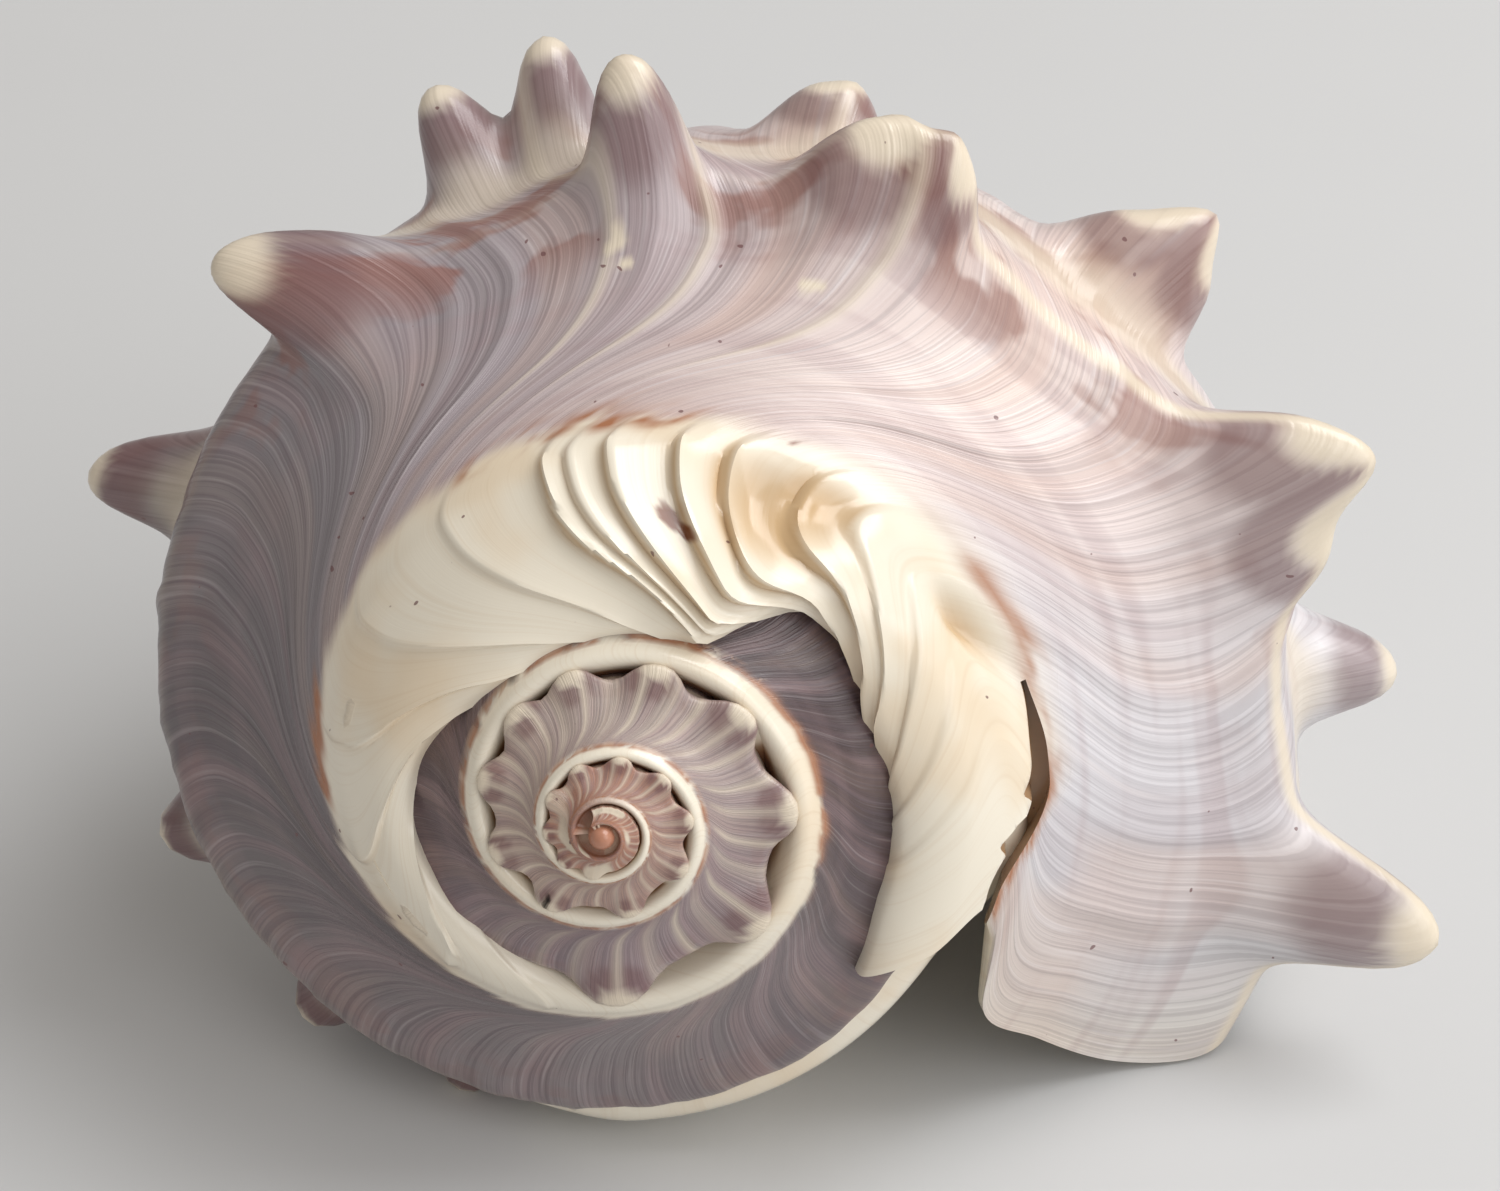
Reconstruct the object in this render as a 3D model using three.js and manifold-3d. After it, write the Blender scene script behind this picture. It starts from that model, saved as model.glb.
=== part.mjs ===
// A crown conch shell lying on its mouth, with the spire towards -Y and the canal towards +Y.
// Millimetres, +Z up. The origin is on the table, under the middle of the shell.
//
// The shell is one spiral surface. A place on it has two numbers: the turn, which counts whorls
// and grows clockwise as seen from the apex, and the station, which runs across the whorl from
// the suture (0) over the shoulder keel (7) to the tip of the siphonal canal (15).
import * as THREE from "three";
import { mergeVertices } from "three/addons/utils/BufferGeometryUtils.js";
import Module from "manifold-3d";

const wasm = await Module();
wasm.setup();

// Driving dimensions
const KEEL_RADIUS = 45.5; // from the axis to the shoulder keel, at turn 0
const WHORL_GROWTH = 2.12; // the size of a whorl against that of the one before it
const FIRST_TURN = -4.3; // the apex
const CORE_END_TURN = -1.05; // the older whorls are filled up to here
const WALL_START_TURN = -1.15; // and the open body whorl starts here
const WALL_SPLIT_TURN = -0.4; // it is made in two lengths, which meet here
const LIP_TURN = 0.105; // the outer lip
const WALL_THICKNESS = 2.3;
const CALLUS_THICKNESS = 3.4;
const LIP_THICKNESS = 1.5;
const GLAZE_THICKNESS = 1.7;
const RESTING_WEAR = 0.62; // how much is worn flat where the shell touches the table
const SPIRE_STEP = 0.07; // the longest facets, in turns
const WALL_STEP = 0.035;
const PILLAR_SIDES = 20;
const FINEST_DETAIL = 0.05;

// How the shell's own axes are turned when it lies on the table
const LYING_TURN = new THREE.Euler(
  THREE.MathUtils.degToRad(73.02),
  THREE.MathUtils.degToRad(-3.83),
  THREE.MathUtils.degToRad(2.67),
);

// Cross-section of a whorl: [distance from the axis, depth below the apex], in keel radii
const CHANNELLED_RIM = [
  [0.47, 0.44],
  [0.505, 0.385],
  [0.54, 0.335],
  [0.578, 0.335],
  [0.622, 0.385],
];
const CALLUS_RIM = [
  [0.43, 0.32],
  [0.44, 0.262],
  [0.485, 0.255],
  [0.55, 0.308],
  [0.618, 0.388],
];
const RAMP_TO_CANAL = [
  [0.735, 0.5],
  [0.875, 0.6],
  [1.0, 0.665],
  [1.012, 0.77],
  [1.005, 0.9],
  [0.96, 1.13],
  [0.865, 1.4],
  [0.71, 1.67],
  [0.52, 1.91],
  [0.345, 2.13],
  [0.21, 2.35],
];
const SLIT_STATION = 3.8;
const KEEL_STATION = 7;
const SECOND_ROW_STATION = 9;
const CANAL_STATION = 15;
const CALLUS_BEGINS = [-0.8, -0.55]; // the channelled rim fills up to a callus between these turns

// The callus sags over the older whorl around this turn
const CALLUS_LAP = { turn: -0.27, spread: 0.11, stations: 2.6, inward: 0.115, upward: 0.055 };

// Outline of the outer lip: how far each station lies behind the lip's turn
const LIP_OUTLINE = [
  0, 0, 0, 0, 0.02, -0.006, -0.012, 0.008, 0.022, 0.028, 0.03, 0.036, 0.046, 0.056, 0.062, 0.055,
];
const LIP_SHAPING = [-0.1, 0.095];

// Spines: turn and height in keel radii, half width in turns and in stations, lean of the tip in turns
const SHOULDER_SPINES = [
  { turn: -0.345, height: 0.19, width: 0.042, reach: 2.0, lean: -0.014 },
  { turn: -0.244, height: 0.2, width: 0.027, reach: 1.8, lean: -0.004 },
  { turn: -0.183, height: 0.12, width: 0.04, reach: 2.0, lean: 0 },
  { turn: -0.163, height: 0.075, width: 0.022, reach: 1.5, lean: 0 },
  { turn: -0.059, height: 0.16, width: 0.032, reach: 1.8, lean: 0 },
  { turn: -0.04, height: 0.1, width: 0.04, reach: 1.8, lean: 0 },
  { turn: 0.052, height: 0.225, width: 0.038, reach: 1.6, lean: 0 },
];
const SECOND_ROW_SPINES = [
  { turn: -0.681, height: 0.12, width: 0.032 },
  { turn: -0.622, height: 0.16, width: 0.032 },
  { turn: -0.546, height: 0.15, width: 0.032 },
  { turn: -0.427, height: 0.235, width: 0.032, lean: -0.01 },
  { turn: -0.292, height: 0.17, width: 0.026 },
  { turn: -0.272, height: 0.18, width: 0.023 },
  { turn: -0.198, height: 0.11, width: 0.032 },
  { turn: -0.115, height: 0.13, width: 0.03 },
  { turn: -0.1, height: 0.13, width: 0.028 },
  { turn: 0.007, height: 0.15, width: 0.032 },
].map((spine) => ({ reach: 1.3, lean: 0, ...spine }));
const SPIRE_KNOB_TURNS = [
  -0.96, -1.08, -1.2, -1.33, -1.458, -1.593, -1.75, -1.883, -1.996, -2.1, -2.195, -2.288, -2.363, -2.452,
  -2.553, -2.658, -2.787, -2.911,
];
const SPIRE_KNOB = { height: 0.13, width: 0.045, reach: 1.6, lean: 0 };
const SPIKE_POWER = 1.5; // over 1, so that a spine's sides are hollow
const SHOULDER_RISE = -0.15; // depth of a shoulder spine's tip for each unit of its height

const SPINES = [
  ...SHOULDER_SPINES.map((s) => ({ ...s, station: KEEL_STATION, rise: SHOULDER_RISE })),
  ...SPIRE_KNOB_TURNS.map((turn) => ({ ...SPIRE_KNOB, turn, station: KEEL_STATION, rise: SHOULDER_RISE })),
  ...SECOND_ROW_SPINES.map((s) => ({ ...s, station: SECOND_ROW_STATION, rise: 0 })),
];

const curve = (points) => new THREE.SplineCurve(points.map(([x, y]) => new THREE.Vector2(x, y)));
const spireSection = curve([...CHANNELLED_RIM, ...RAMP_TO_CANAL]);
const bodySection = curve([...CALLUS_RIM, ...RAMP_TO_CANAL]);
const lipOutline = curve(LIP_OUTLINE.map((behind, station) => [station, behind]));

const { smoothstep, clamp, lerp } = THREE.MathUtils;

// The whorl's bare section, without spines: (distance from the axis, depth), in keel radii
function section(turn, station) {
  const along = clamp(station / CANAL_STATION, 0, 1);
  const callus = smoothstep(turn, ...CALLUS_BEGINS);
  const point = spireSection.getPoint(along).lerp(bodySection.getPoint(along), callus);
  const away = (turn - CALLUS_LAP.turn) / CALLUS_LAP.spread;
  const lap = Math.exp(-(away ** 2)) * clamp(1 - station / CALLUS_LAP.stations, 0, 1);
  point.x -= CALLUS_LAP.inward * lap;
  point.y -= CALLUS_LAP.upward * lap;
  return point;
}

// The section's unit direction out of the shell
function outward(turn, station) {
  const step = 0.05; // stations
  const before = section(turn, station - step);
  const after = section(turn, station + step);
  return new THREE.Vector2(after.y - before.y, before.x - after.x).normalize();
}

// A point in the shell's own frame: the apex at the origin, the axis along Z
function spiralPoint(turn, reach, depth) {
  const size = KEEL_RADIUS * WHORL_GROWTH ** turn;
  const angle = -2 * Math.PI * turn;
  return new THREE.Vector3(size * reach * Math.cos(angle), size * reach * Math.sin(angle), -size * depth);
}

// The outside of the shell, with its spines
function outerPoint(turn, station) {
  const { x, y } = section(turn, station);
  let [reach, depth, lean] = [x, y, 0];
  for (const spine of SPINES) {
    const away = Math.hypot((turn - spine.turn) / spine.width, (station - spine.station) / spine.reach);
    const share = clamp(1 - away, 0, 1) ** SPIKE_POWER;
    reach += spine.height * share;
    depth += spine.height * spine.rise * share;
    lean += spine.lean * share;
  }
  return spiralPoint(turn + lean, reach, depth);
}

// A smooth point set in from the shell's surface, or raised over it where inset is negative
function insetPoint(turn, station, inset) {
  const share = inset / (KEEL_RADIUS * WHORL_GROWTH ** turn);
  const { x, y } = section(turn, station).addScaledVector(outward(turn, station), -share);
  return spiralPoint(turn, x, y);
}

// The turn of a station on the growth line that has this turn: near the lip it follows the lip's outline
function growthTurn(turn, station) {
  const behind = lipOutline.getPoint(station / CANAL_STATION).y;
  return turn - behind * smoothstep(turn, ...LIP_SHAPING);
}

// A closed manifold solid from a geometry
function solid(geometry) {
  const bare = geometry.clone();
  bare.deleteAttribute("normal");
  bare.deleteAttribute("uv");
  const merged = mergeVertices(bare, 1e-4);
  const vertProperties = merged.attributes.position.array;
  const triVerts = new Uint32Array(merged.index.array);
  return new wasm.Manifold(new wasm.Mesh({ numProp: 3, vertProperties, triVerts }));
}

// A closed solid through rings of points, its ends closed by the triangles of a flat outline of the ring
function sweep(rings, outline) {
  const count = outline.length;
  const last = (rings.length - 1) * count;
  const index = [];
  for (let start = 0; start < last; start += count) {
    for (let i = 0; i < count; i++) {
      const [a, b] = [start + i, start + ((i + 1) % count)];
      index.push(a, b, b + count, a, b + count, a + count);
    }
  }
  for (const [a, b, c] of THREE.ShapeUtils.triangulateShape(outline, [])) {
    index.push(a, c, b, last + a, last + b, last + c);
  }
  const geometry = new THREE.BufferGeometry().setFromPoints(rings.flat()).setIndex(index);
  return solid(geometry);
}

// The ring of a wall at one turn: its inside from the suture to the canal, and its outside back again
function wallRing(stations, inside, outside) {
  return [...stations.map(inside), ...[...stations].reverse().map(outside)];
}

// A flat outline with the ring's order, to close the ends with
function wallOutline(stations, turn, depth) {
  const flat = (station, inset) => {
    const { x, y } = section(turn, station).addScaledVector(outward(turn, station), -inset);
    return new THREE.Vector2(x, -y);
  };
  return wallRing(
    stations,
    (station) => flat(station, depth),
    (station) => flat(station, 0),
  );
}

// Turns from one to another, with a row at each spine and at its sides, and no step over the longest
function turnsBetween(from, to, longest) {
  const wanted = SPINES.flatMap(({ turn, width }) => [turn - width / 2, turn, turn + width / 2]);
  const closest = longest / 4;
  const kept = [from];
  for (const turn of [...wanted.filter((t) => t > from && t < to - closest).sort((a, b) => a - b), to]) {
    const gap = turn - kept.at(-1);
    if (gap < closest) continue;
    const pieces = Math.ceil(gap / longest);
    for (let i = pieces - 1; i >= 0; i--) kept.push(turn - (gap * i) / pieces);
  }
  return kept;
}

// The older whorls, filled to the axis
function spireWhorls() {
  const stations = [15, 13.5, 12, 10, 9, 8, 7, 6, 5, 4, 3, 2, 1, 0];
  const axisReach = 0.03;
  const axisDepths = [0.5, 2.2];
  const flat = ({ x, y }) => new THREE.Vector2(x, -y);
  const outline = [
    ...axisDepths.map((depth) => new THREE.Vector2(axisReach, -depth)),
    ...stations.map((station) => flat(section(FIRST_TURN, station))),
  ];
  const ring = (turn) => [
    ...axisDepths.map((depth) => spiralPoint(turn, axisReach, depth)),
    ...stations.map((station) => outerPoint(turn, station)),
  ];
  const lengths = 0.8; // under a whole turn, so that no length runs into itself
  const made = [];
  for (let end = CORE_END_TURN; end > FIRST_TURN; end -= lengths) {
    const start = Math.max(FIRST_TURN, end - lengths);
    made.push(sweep(turnsBetween(start, end, SPIRE_STEP).map(ring), outline));
  }
  return made;
}

// The open wall of the body whorl, thick at the callus and thin at the lip
function bodyWall() {
  const stations = [0, 1, 2, 3, 4, 5, 6, 6.5, 7, 7.5, 8, 8.5, 9, 9.5, 10, 11, 12, 13, 14, 15];
  const thickness = (turn, station) => {
    const wall = lerp(CALLUS_THICKNESS, WALL_THICKNESS, smoothstep(station, 2, 5));
    return lerp(wall, LIP_THICKNESS, smoothstep(turn, LIP_TURN - 0.08, LIP_TURN));
  };
  const ring = (turn) =>
    wallRing(
      stations,
      (station) => insetPoint(growthTurn(turn, station), station, thickness(turn, station)),
      (station) => outerPoint(growthTurn(turn, station), station),
    );
  const outline = wallOutline(stations, LIP_TURN, WALL_THICKNESS / KEEL_RADIUS);
  return [
    [WALL_START_TURN, WALL_SPLIT_TURN],
    [WALL_SPLIT_TURN, LIP_TURN],
  ].map(([from, to]) => sweep(turnsBetween(from, to, WALL_STEP).map(ring), outline));
}

// The smooth glaze of the inner lip, laid over the older whorl in the mouth
function parietalGlaze() {
  const turns = [-1.04, -1.0, -0.96, -0.91, -0.86, -0.81, -0.76, -0.72, -0.69];
  const stations = [6.3, 6.7, 7.2, 8, 9, 10, 11.5, 13, 14.3];
  const bedded = 1.2;
  const edgeDepth = 0.2; // the edges of the glaze end under the older whorl's surface
  const height = (turn, station) => {
    const along = smoothstep(turn, -1.05, -0.98) * (1 - smoothstep(turn, -0.75, -0.69));
    return GLAZE_THICKNESS * along * smoothstep(station, 6.2, 6.9) - edgeDepth;
  };
  const ring = (turn) =>
    wallRing(
      stations,
      (station) => insetPoint(turn, station, bedded),
      (station) => insetPoint(turn, station, -height(turn, station)),
    );
  return sweep(turns.map(ring), wallOutline(stations, turns[0], bedded / KEEL_RADIUS));
}

// The pillar of the shell, from the tip of the canal, where it leans to the back wall, to the apex
function columella() {
  const pillar = [
    { depth: 104, radius: 1.4 },
    { depth: 100, radius: 3.2 },
    { depth: 93, radius: 4.9 },
    { depth: 84, radius: 6.2 },
    { depth: 74, radius: 6.7 },
    { depth: 62, radius: 6.6 },
    { depth: 45, radius: 6.2 },
    { depth: 23, radius: 4.5 },
    { depth: 10, radius: 2.2 },
    { depth: 3, radius: 1.0 },
    { depth: 1.6, radius: 1.7 },
    { depth: 0.8, radius: 1.6 },
    { depth: 0.2, radius: 1.1 },
    { depth: -0.1, radius: 0.3 },
  ];
  const leaning = { from: 62, to: 104, x: -1.2, y: 2.2 };
  const circle = new THREE.EllipseCurve(0, 0, 1, 1).getPoints(PILLAR_SIDES).slice(1);
  const rings = pillar.map(({ depth, radius }) => {
    const lean = smoothstep(depth, leaning.from, leaning.to);
    return circle.map(
      ({ x, y }) => new THREE.Vector3(leaning.x * lean + radius * x, leaning.y * lean + radius * y, -depth),
    );
  });
  return sweep(rings, circle);
}

// The slit behind the lip, between the callus and the free edge of the ramp
function sutureSlit() {
  const turns = [-0.04, -0.015, 0.01, 0.035, 0.06, 0.085, 0.11, 0.14];
  const [above, below] = [0.1, -0.12];
  const corners = [
    [-1, above],
    [-1, below],
    [1, below],
    [1, above],
  ];
  const halfWidth = (turn) => lerp(0.004, 0.024, smoothstep(turn, -0.04, 0.03));
  const ring = (turn) => {
    const { x, y } = section(turn, SLIT_STATION);
    return corners.map(([side, up]) => spiralPoint(turn, x + side * halfWidth(turn), y - up));
  };
  return sweep(
    turns.map(ring),
    corners.map(([side, up]) => new THREE.Vector2(side, up)),
  );
}

// The shell grown together, laid on the table, and worn flat where it rests
function wholeShell() {
  const wall = bodyWall().reduce((whole, piece) => whole.add(piece));
  const grown = [...spireWhorls(), parietalGlaze(), columella()].reduce(
    (whole, piece) => whole.add(piece),
    wall.subtract(sutureSlit()),
  );
  const lying = grown.transform(new THREE.Matrix4().makeRotationFromEuler(LYING_TURN).toArray());
  const table = lying.boundingBox().min[2] + RESTING_WEAR;
  const worn = lying.trimByPlane([0, 0, 1], table).simplify(FINEST_DETAIL);
  const [whole] = worn.decompose().sort((a, b) => b.volume() - a.volume());
  const { min, max } = whole.boundingBox();
  return whole.translate(-(min[0] + max[0]) / 2, -(min[1] + max[1]) / 2, -table);
}

function geometryOf(manifold) {
  const { numProp, numVert, vertProperties, triVerts } = manifold.getMesh();
  const point = (_, i) => new THREE.Vector3().fromArray(vertProperties, i * numProp);
  const points = Array.from({ length: numVert }, point);
  return new THREE.BufferGeometry().setFromPoints(points).setIndex(Array.from(triVerts));
}

const shell = new THREE.Mesh(
  geometryOf(wholeShell()),
  new THREE.MeshStandardMaterial({ color: "#b5a6b0", roughness: 0.4, metalness: 0, flatShading: true }),
);
shell.name = "shell";

const conch = new THREE.Group();
conch.add(shell);

export default conch;
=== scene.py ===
"""A crown conch shell, grown as one spiral over its frame and laid on a pale table.

A place on the shell has two numbers. Its growth counts whorls, and is the same along a growth line.
Its station runs across the whorl: 0 at the suture, 4 at the callus's border, 7 at the shoulder keel,
9 at the second row of spines and 15 at the tip of the siphonal canal.
"""

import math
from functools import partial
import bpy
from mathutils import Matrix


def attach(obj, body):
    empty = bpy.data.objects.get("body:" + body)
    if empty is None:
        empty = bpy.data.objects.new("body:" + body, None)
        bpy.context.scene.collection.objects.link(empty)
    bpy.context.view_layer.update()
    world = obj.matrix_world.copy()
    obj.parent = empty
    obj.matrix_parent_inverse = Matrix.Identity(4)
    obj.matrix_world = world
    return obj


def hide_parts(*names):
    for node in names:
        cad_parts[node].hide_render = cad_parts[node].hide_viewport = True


bl_info = {
    "name": "Crown conch shell",
    "version": (1, 0, 0),
    "blender": (4, 5, 0),
    "location": "View3D > Sidebar > Conch",
    "description": "Grows a crown conch shell on its frame and lays it on a pale table",
    "category": "Object",
}

import bmesh
import bpy
import numpy as np
from mathutils import Euler, Matrix, Vector

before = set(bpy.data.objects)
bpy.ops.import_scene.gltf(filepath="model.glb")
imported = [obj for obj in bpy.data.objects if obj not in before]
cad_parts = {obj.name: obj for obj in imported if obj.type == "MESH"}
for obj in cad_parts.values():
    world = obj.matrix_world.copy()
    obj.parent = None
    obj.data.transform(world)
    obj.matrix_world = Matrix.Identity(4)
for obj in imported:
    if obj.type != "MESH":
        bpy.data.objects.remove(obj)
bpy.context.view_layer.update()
MM = 0.001

# Growth of the shell, in turns and in millimetres
KEEL_RADIUS = 45.5
WHORL_GROWTH = 2.12
FIRST_TURN = -4.3
CORE_END_TURN = -1.05
WALL_START_TURN = -1.15
WALL_SPLIT_TURN = -0.45
LIP_TURN = 0.105
# Growth at which the lip's edge begins to round off, and the closer rows there
LIP_ROUNDS = 0.095
LIP_ROWS = [0.098, 0.101, 0.103, 0.1043]

# How the shell's own axes are turned on the table, and where its apex then is
LYING_TURN = Euler((math.radians(73.02), math.radians(-3.83), math.radians(2.67)), "ZYX")
APEX_PLACE = (-9.56, -52.04, 34.25)

# Cross-section of a whorl: (distance from the axis, depth below the apex), in keel radii
CHANNELLED_RIM = [(0.470, 0.440), (0.505, 0.385), (0.540, 0.335), (0.578, 0.335), (0.622, 0.385)]
CALLUS_RIM = [(0.430, 0.320), (0.440, 0.262), (0.485, 0.255), (0.550, 0.308), (0.618, 0.388)]
RAMP_TO_CANAL = [
    (0.735, 0.500),
    (0.875, 0.600),
    (1.000, 0.665),
    (1.012, 0.770),
    (1.005, 0.900),
    (0.960, 1.130),
    (0.865, 1.400),
    (0.710, 1.670),
    (0.520, 1.910),
    (0.345, 2.130),
    (0.210, 2.350),
]
SPIRE_SECTION = np.array(CHANNELLED_RIM + RAMP_TO_CANAL)
BODY_SECTION = np.array(CALLUS_RIM + RAMP_TO_CANAL)
RIM_STATION = 4
KEEL_STATION = 7
SECOND_ROW_STATION = 9
CANAL_STATION = 15
CALLUS_BEGINS = (-0.80, -0.55)

# Where the callus laps over the older whorl: turns at which the lap rises and falls, the stations it
# takes in, and how far it goes inward and upward in keel radii
CALLUS_LAPS = [
    ((-0.55, -0.33), (-0.175, -0.115), 3.4, 0.16, 0.12),
    ((-0.10, -0.03), (0.07, 0.15), 2.2, 0.055, 0.020),
]

# Where the keel draws in between its spines: turn, how far in keel radii, half width in turns
KEEL_DIPS = [
    (-0.292, 0.06, 0.032),
    (-0.213, 0.04, 0.022),
    (-0.115, 0.07, 0.042),
    (0.003, 0.04, 0.034),
]

# How far each station of a growth line, and of the outer lip, lies behind the line's own turn
GROWTH_LINE = np.array(
    [-0.06, 0.02, 0.085, 0.115, 0.105, 0.022, 0.0, 0.007]
    + [0.022, 0.024, 0.016, 0.01, 0.006, 0.006, 0.012, 0.025]
)
LIP_OUTLINE = np.array(
    [-0.015, -0.012, 0.012, 0.042, -0.004, -0.009, -0.006, 0.008]
    + [0.022, 0.028, 0.03, 0.036, 0.046, 0.056, 0.062, 0.055]
)
LIP_SHAPING = (-0.10, 0.095)
# The older growth lines are less swept back: the growth at which that begins and is full, and by how much
STRAIGHTER_LINES = (-0.5, -0.75)
STRAIGHTER_SHARE = 0.62

# Spines: turn, height in keel radii, half width in turns and in stations, lean of the tip in turns
SHOULDER_SPINES = [
    (-0.338, 0.205, 0.038, 2.6, -0.020),
    (-0.244, 0.200, 0.027, 1.8, -0.004),
    (-0.183, 0.120, 0.040, 2.0, 0),
    (-0.163, 0.075, 0.022, 1.5, 0),
    (-0.059, 0.160, 0.032, 1.8, 0),
    (-0.040, 0.100, 0.040, 1.8, 0),
    (0.052, 0.235, 0.032, 1.6, 0),
]
SECOND_ROW_SPINES = [
    (-0.681, 0.120, 0.032, 1.3, 0),
    (-0.622, 0.160, 0.032, 1.3, 0),
    (-0.546, 0.150, 0.032, 1.3, 0),
    (-0.427, 0.235, 0.032, 1.3, -0.01),
    (-0.295, 0.205, 0.025, 1.4, -0.004),
    (-0.270, 0.215, 0.024, 1.4, 0),
    (-0.198, 0.110, 0.032, 1.3, 0),
    (-0.115, 0.130, 0.030, 1.3, 0),
    (-0.100, 0.130, 0.028, 1.3, 0),
    (0.007, 0.160, 0.026, 1.3, 0),
]
SPIRE_KNOB_TURNS = [
    -1.458, -1.593, -1.75, -1.883, -1.996, -2.1, -2.195, -2.288, -2.363, -2.452,
    -2.553, -2.658, -2.787, -2.911, -3.01, -3.11, -3.21, -3.31, -3.41, -3.51, -3.61, -3.71,
]
SPIRE_KNOB = (0.18, 0.070, 2.6, 0)
# Pale ribs on the crown, in turns
CROWN_RIB_SPACING = 0.035
# Shape of a spine: how wide its blunt horn is in its foot, how blunt, and its share of the height
HORN_WIDTH = 0.45
HORN_BLUNTNESS = 3.2
HORN_SHARE = 0.84
# How much deeper a shoulder spine's tip lies, as a share of its height: below 0 is towards the apex
SHOULDER_RISE = -0.15
SPINES = (
    [(*spine, KEEL_STATION, SHOULDER_RISE) for spine in SHOULDER_SPINES]
    + [(turn, *SPIRE_KNOB, KEEL_STATION, SHOULDER_RISE) for turn in SPIRE_KNOB_TURNS]
    + [(*spine, SECOND_ROW_STATION, 0) for spine in SECOND_ROW_SPINES]
)

# Lamellae of the callus: growth of the edge, height of its step in millimetres; the step also sets the
# painted shade in the fold under the edge
LAMELLAE = [
    (-0.62, 0.25),
    (-0.52, 0.35),
    (-0.43, 0.45),
    (-0.36, 0.40),
    (-0.29, 0.30),
    (-0.222, 0.35),
    (-0.165, 1.00),
    (-0.150, 0.70),
    (-0.131, 1.10),
    (-0.100, 1.30),
    (-0.077, 1.20),
    (-0.053, 1.10),
    (-0.036, 0.50),
    (-0.012, 0.35),
    (0.012, 0.20),
    (0.040, 0.15),
]
# Hollows between the callus and the ramp, painted with shade as well as sunk: growth, station, half widths of
# both, depth in millimetres
HOLLOWS = [
    (-0.068, 3.0, 0.016, 0.7, 1.8),
    (-0.045, 3.2, 0.010, 0.6, 1.2),
    (0.006, 3.5, 0.014, 0.5, 2.2),
]
# Stains: growth, station, half widths of both
STAINS = [
    (-0.110, 2.55, 0.006, 0.16),
    (-0.104, 2.35, 0.004, 0.10),
    (-0.070, 3.95, 0.002, 0.05),
]
# Chips that lay the pale layer bare: growth, station, half widths of both
CHIPS = [
    (-0.250, 5.95, 0.004, 0.10),
    (-0.184, 5.65, 0.004, 0.08),
    (-0.245, 5.75, 0.003, 0.05),
]
# Growth rests, where the shell paused and left a ridge, and those of them that are pale
PALE_RESTS = [-0.252, -0.222, -0.170]
GROWTH_RESTS = [-0.49, -0.445, -0.285, -0.252, -0.222, -0.170, -0.09, -0.005, 0.06]

# Where the callus's rim has crumbled to rust: first and last growth, and how much
CRUMBLED_RIM = [(-0.405, -0.358, 1.0), (-0.214, -0.115, 1.0), (-0.015, 0.02, 0.7), (0.03, 0.12, 1.0)]
# Stations of the pale spiral bands on the flank
PALE_BANDS = [8.1, 10.6, 12.3, 13.6]

# The slit behind the lip, in turns and keel radii: it drifts inward, opens, closes and cuts through the lip
SLIT_TURNS = (-0.03, 0.14)
SLIT_STATION = 3.8
SLIT_DRIFTS = (0.012, 0.058)
SLIT_DRIFT = 0.055
SLIT_OPENS = (-0.03, 0.0)
SLIT_CLOSES = (0.03, 0.075)
SLIT_CUTS_THROUGH = (0.04, 0.07)
SLIT_DEPTH = 0.045
CHIPPED_EDGE = 0.018

# The glaze of the inner lip: its turns and stations, how deep it is bedded and how thin its edge is in
# millimetres, and the corner of the mouth that it fills: turn, half width in turns, height in millimetres
GLAZE_TURNS = (-1.04, -0.69)
GLAZE_STATIONS = (6.3, 14.3)
GLAZE_BED = 1.2
GLAZE_EDGE = 0.2
MOUTH_CORNER = (-0.96, 0.045, 3.6)

# Columella: depth below the apex and radius, in millimetres, and how far its foot leans
COLUMELLA = [
    (104, 0.9),
    (102.5, 1.6),
    (100, 2.6),
    (93, 4.6),
    (84, 6.2),
    (74, 6.7),
    (62, 6.6),
    (45, 6.2),
    (23, 4.5),
    (10, 2.2),
    (3, 1.0),
    (1.6, 0.9),
    (0.9, 0.8),
    (0.5, 0.6),
    (0.3, 0.4),
    (0.2, 0.1),
]
COLUMELLA_LEAN = (-1.2, 2.2)
COLUMELLA_LEANS = (62, 104)

# The pairs of values that the shell's surface carries for its colours
MAP_NAMES = ("growth", "finish", "marks", "spines", "bands", "blotches")
MAP_SHARES = (
    ("growth", "station"),
    ("cream", "border"),
    ("stain", "fold"),
    ("side", "tip"),
    ("keel", "flank"),
    ("rust", "fresh"),
)
# Patterns that follow the growth lines: spacing and length in millimetres, and detail
GROWTH_PATTERNS = [
    ("fine", 0.34, 40, 1.0),
    ("lines", 1.0, 45, 4.0),
    ("pale", 0.8, 25, 2.0),
    ("bands", 6.0, 30, 2.0),
    ("warm", 10.0, 28, 1.0),
    ("spiral", 70.0, 4.5, 2.0),
    ("blotches", 9.0, 8.0, 3.0),
]
# Length of a whorl's section from suture to canal, in millimetres at turn 0
SECTION_LENGTH = 140.0
# Colour of the outer layer by the growth it was laid down at. The dark older ramp, from -1.45 to -0.95, is
# partly its own dark violet and partly painted shade, as dark as it looks where it lies shaded under the
# callus's edge
AGE_COLOURS = [
    (-4.3, "#bf8468"),
    (-3.3, "#b3806a"),
    (-2.3, "#b9a89f"),
    (-1.75, "#97858a"),
    (-1.45, "#524245"),
    (-0.95, "#4b3c3e"),
    (-0.72, "#938a8c"),
    (-0.50, "#676062"),
    (-0.36, "#8d878b"),
    (-0.25, "#b5a9ae"),
    (-0.19, "#d3c3c1"),
    (-0.14, "#e8d8d2"),
    (-0.08, "#e6d4cf"),
    (0.0, "#dcd8dc"),
    (0.06, "#d6d5da"),
    (0.105, "#e0dad2"),
]

# The photograph's frame, and where the apex is in it
PHOTO_SIZE = (1500, 1191)
FOCAL_PIXELS = 4000
APEX_PIXEL = (600, 843)
MM_PER_PIXEL = 0.062
VIEW_TILT = (math.radians(17.5), math.radians(-3.5))
SENSOR_WIDTH = 36.0

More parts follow.
